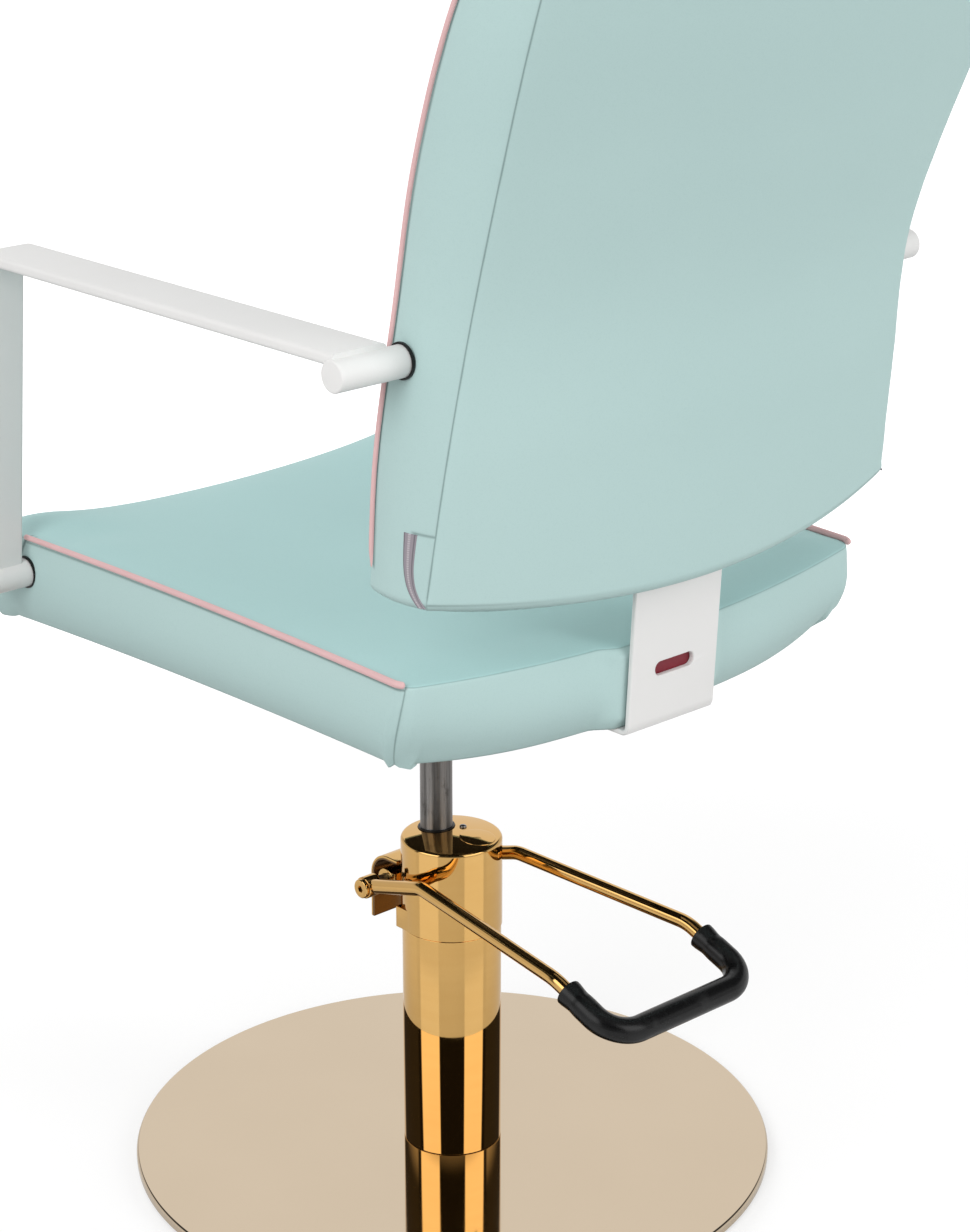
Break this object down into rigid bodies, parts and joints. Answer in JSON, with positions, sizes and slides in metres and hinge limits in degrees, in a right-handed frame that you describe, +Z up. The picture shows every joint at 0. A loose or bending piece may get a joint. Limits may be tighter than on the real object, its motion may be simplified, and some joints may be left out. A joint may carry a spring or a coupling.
{
  "type": "hairdressing chair",
  "caption": "Hydraulic styling chair: padded seat and back with piping, flat-bar armrests, pump column with a U-shaped foot lever, round plated base",
  "frame": {"origin": "on the floor under the middle of the round base, on the pump column's axis", "axes": "+Z up; the sitter faces -Y, so the back and the foot lever are towards +Y; +X is the sitter's left"},
  "size_m": [0.6392, 0.7738, 1.15],
  "materials": {
    "gold_plate": "gold-coloured mirror plating over steel, polished",
    "champagne_plate": "pale champagne mirror plating over steel, polished",
    "bare_steel": "bare machined steel, lightly marked",
    "dark_steel": "dark painted steel, matte",
    "white_paint": "white powder coat, satin",
    "red_paint": "dark red paint, satin",
    "mint_leatherette": "smooth coated fabric (leatherette) over foam, satin",
    "pink_piping": "coated fabric cord, satin",
    "grey_zip": "woven zip tape, matte",
    "black_rubber": "black rubber, satin",
    "plywood": "bare plywood, matte"
  },
  "bodies": {
    "base": {"base_pad": "black_rubber", "base_weight": "dark_steel", "base_cover": "champagne_plate", "column_cover": "gold_plate", "pump_cylinder": "dark_steel", "pump_head": "gold_plate", "rod_seal": "dark_steel", "head_plug": "gold_plate", "bleed_screw": "bare_steel", "lever_hood": "gold_plate", "plunger_spring": "bare_steel"},
    "lever": {"lever_bar": "gold_plate", "lever_grip": "black_rubber", "pivot_shaft": "bare_steel", "lever_cam": "dark_steel", "lever_bolt_left": "gold_plate", "lever_bolt_right": "gold_plate"},
    "plunger": {"plunger": "bare_steel"},
    "ram": {"ram_piston": "bare_steel", "piston_seal": "black_rubber"},
    "seat": {"piston_rod": "bare_steel", "seat_plate": "dark_steel", "plate_bolt_1": "dark_steel", "plate_bolt_2": "dark_steel", "plate_bolt_3": "dark_steel", "plate_bolt_4": "dark_steel", "seat_board": "plywood", "seat_cushion": "mint_leatherette", "seat_piping_left": "pink_piping", "seat_piping_right": "pink_piping", "back_bracket": "white_paint", "bracket_backing": "red_paint", "flange_bolt_1": "dark_steel", "flange_bolt_2": "dark_steel", "back_board": "plywood", "back_cushion": "mint_leatherette", "back_piping_left": "pink_piping", "back_piping_right": "pink_piping", "back_zip_left": "grey_zip", "back_zip_right": "grey_zip", "armrest_left": "white_paint", "armrest_right": "white_paint", "seat_arm_block_left": "plywood", "seat_arm_block_right": "plywood", "back_arm_block_left": "plywood", "back_arm_block_right": "plywood", "seat_arm_ring_left": "black_rubber", "seat_arm_ring_right": "black_rubber", "back_arm_ring_left": "black_rubber", "back_arm_ring_right": "black_rubber"}
  },
  "joints": [
    {"name": "seat_lift", "type": "slide", "parent": "base", "child": "ram", "axis": [0, 0, 1], "range_m": [-0.13, 0.015]},
    {"name": "seat_swivel", "type": "hinge", "parent": "ram", "child": "seat", "pos_m": [0, -0.02, 0.2], "axis": [0, 0, 1], "continuous": true},
    {"name": "lever_pump", "type": "hinge", "parent": "base", "child": "lever", "pos_m": [0, -0.051, 0.258], "axis": [-1, 0, 0], "range_deg": [0, 20], "stiffness_Nm_per_rad": 8, "springref_deg": -22.92},
    {"name": "plunger_stroke", "type": "slide", "parent": "base", "child": "plunger", "axis": [0, 0, -1], "range_m": [0, 0.0037], "deforming": ["plunger_spring"]}
  ],
  "couplings": [
    {"joint": "plunger_stroke", "follows": "lever_pump", "m_per_rad": 0.0105}
  ]
}
